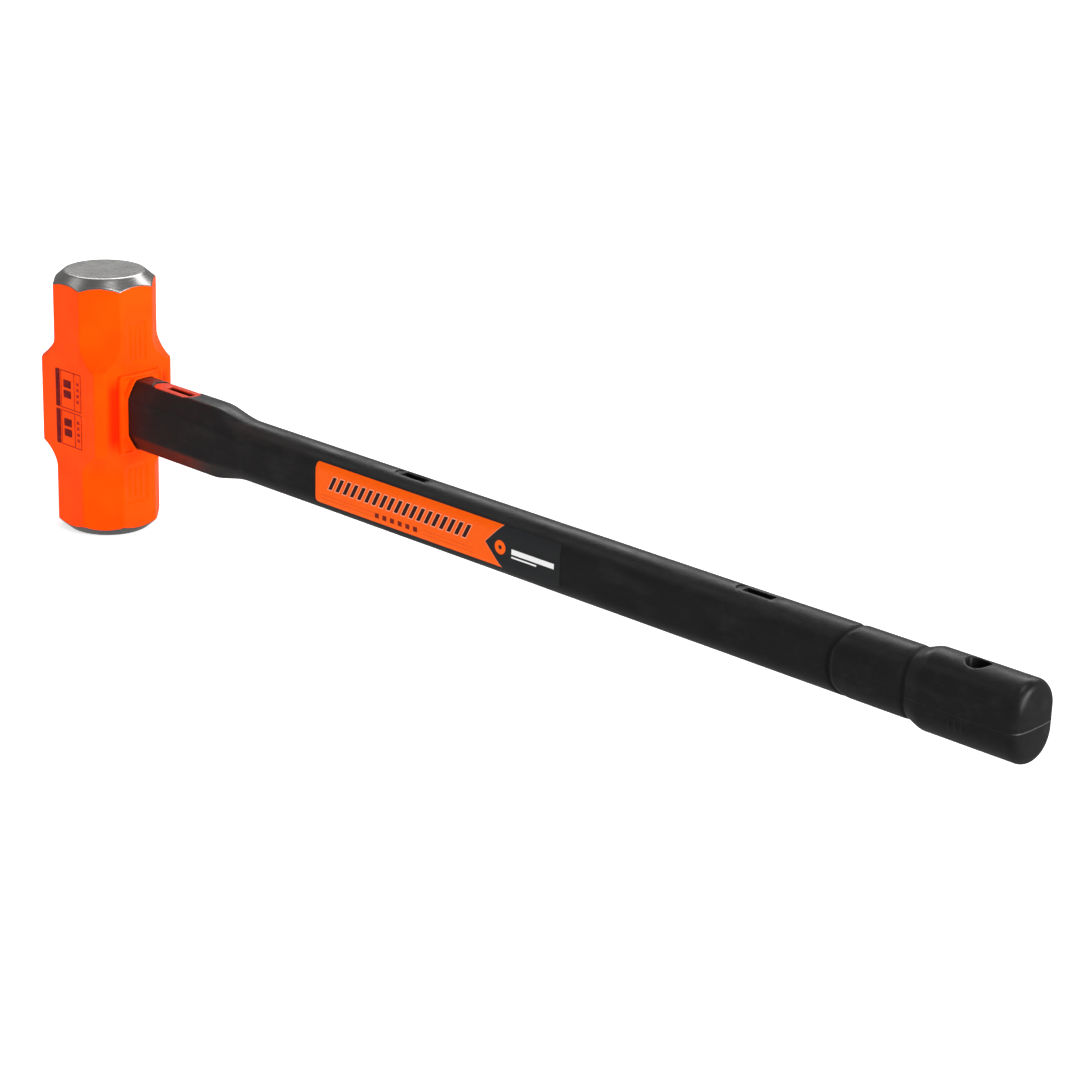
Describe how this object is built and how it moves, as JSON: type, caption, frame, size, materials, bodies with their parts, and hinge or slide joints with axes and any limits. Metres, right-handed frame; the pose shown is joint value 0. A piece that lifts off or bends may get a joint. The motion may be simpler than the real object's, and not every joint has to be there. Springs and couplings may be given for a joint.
{
  "type": "sledgehammer",
  "caption": "Two-handed sledgehammer: double-faced octagonal steel head with bare ground faces, a locking plate and a rubber handle moulded over steel rods.",
  "frame": {"origin": "centre of the lower striking face", "axes": "+Z along the striking axis to the upper face, +X along the handle towards the pommel, -Y out of the labelled side"},
  "size_m": [0.765, 0.0638, 0.173],
  "materials": {
    "head_paint": "gloss",
    "plate_paint": "gloss",
    "handle_rubber": "satin",
    "rod_steel": "satin",
    "spacer_steel": "satin",
    "spacer_plastic": "gloss",
    "label_vinyl": "satin",
    "marking_ink": "satin"
  },
  "bodies": {
    "root": {"hammer_head": "head_paint", "locking_plate": "plate_paint", "rubber_handle": "handle_rubber", "core_rod_1": "rod_steel", "core_rod_2": "rod_steel", "core_rod_3": "rod_steel", "core_rod_4": "rod_steel", "core_rod_5": "rod_steel", "core_rod_6": "rod_steel", "core_spacer_1": "spacer_plastic", "core_spacer_2": "spacer_steel", "core_spacer_3": "spacer_steel", "rod_end_plate": "spacer_steel", "handle_label": "label_vinyl", "cheek_marking": "marking_ink"}
  },
  "joints": []
}
